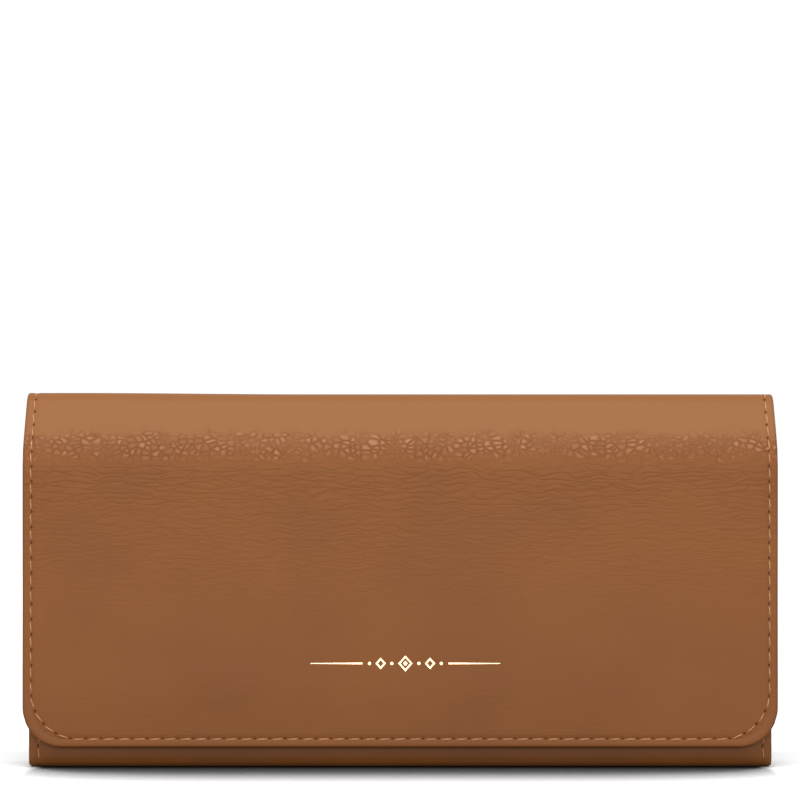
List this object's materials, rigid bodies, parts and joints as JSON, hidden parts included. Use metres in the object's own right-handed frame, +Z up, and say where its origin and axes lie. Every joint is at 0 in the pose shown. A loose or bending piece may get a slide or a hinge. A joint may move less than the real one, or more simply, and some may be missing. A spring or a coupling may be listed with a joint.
{
  "type": "long flap wallet",
  "caption": "Long leather flap wallet that stands on its bottom fold, with a hidden snap, card slots, two note compartments and a central zip coin pocket.",
  "frame": {"origin": "middle of the wallet's footprint, on the surface it stands on", "axes": "+X to the right along the width, +Y from the flap to the back, +Z up"},
  "size_m": [0.19, 0.0254, 0.094],
  "materials": {
    "leather": "pebbled, semi-gloss",
    "lining": "smooth, matte",
    "cloth": "woven, matte",
    "board": "matte fibre board",
    "thread": "waxed",
    "hardware": "polished"
  },
  "bodies": {
    "back": {"back_leather": "leather", "back_board": "board", "back_lining": "lining", "back_stitching": "thread", "gusset_rear_left": "leather", "gusset_rear_right": "leather"},
    "top_fold": {"spine_leather": "leather", "spine_lining": "lining", "spine_stitching": "thread"},
    "flap": {"flap_leather": "leather", "flap_board": "board", "flap_lining": "lining", "flap_stitching": "thread", "flap_card_slot_1": "leather", "flap_card_slot_2": "leather", "flap_card_slot_3": "leather", "flap_slot_stitching": "thread", "snap_socket": "hardware", "snap_socket_cap": "hardware"},
    "front_panel": {"front_leather": "leather", "front_board": "board", "front_lining": "lining", "front_stitching": "thread", "snap_stud": "hardware", "snap_stud_washer": "hardware", "gusset_front_left": "leather", "gusset_front_right": "leather"},
    "zip_pocket": {"pocket_leather": "leather", "pocket_lining": "cloth", "pocket_side_left": "leather", "pocket_side_right": "leather", "pocket_card_slot_1": "leather", "pocket_card_slot_2": "leather", "pocket_card_slot_3": "leather", "pocket_slot_stitching": "thread", "zip_tape_front": "cloth", "zip_tape_rear": "cloth", "zip_teeth_front": "hardware", "zip_teeth_rear": "hardware", "zip_end_stop": "hardware", "zip_top_stop": "hardware", "zip_stitching": "thread"},
    "slider": {"zip_slider": "hardware"},
    "pull": {"pull_ring": "hardware", "pull_tab": "leather", "pull_eyelet": "hardware"}
  },
  "joints": [
    {"name": "top_fold_bend", "type": "hinge", "parent": "back", "child": "top_fold", "pos_m": [0, 0.00713, 0.08703], "axis": [-1, 0, 0], "range_deg": [0, 90]},
    {"name": "flap_bend", "type": "hinge", "parent": "top_fold", "child": "flap", "pos_m": [0, -0.00713, 0.08703], "axis": [-1, 0, 0], "range_deg": [0, 90]},
    {"name": "front_panel_swing", "type": "hinge", "parent": "back", "child": "front_panel", "pos_m": [0, -0.00664, 0.00146], "axis": [1, 0, 0], "range_deg": [0, 27]},
    {"name": "zip_pocket_swing", "type": "hinge", "parent": "back", "child": "zip_pocket", "pos_m": [0, -0.00664, 0.00146], "axis": [1, 0, 0], "range_deg": [0, 10.8]},
    {"name": "slider_run", "type": "slide", "parent": "zip_pocket", "child": "slider", "axis": [-1, 0, 0], "range_m": [0, 0.122]},
    {"name": "pull_swing", "type": "hinge", "parent": "slider", "child": "pull", "pos_m": [0.061, 0.00265, 0.0804], "axis": [0, 1, 0], "range_deg": [-35, 35]}
  ],
  "couplings": [
    {"joint": "flap_bend", "follows": "top_fold_bend", "ratio": 1},
    {"joint": "front_panel_swing", "follows": "top_fold_bend", "ratio": 0.3},
    {"joint": "zip_pocket_swing", "follows": "top_fold_bend", "ratio": 0.12}
  ]
}
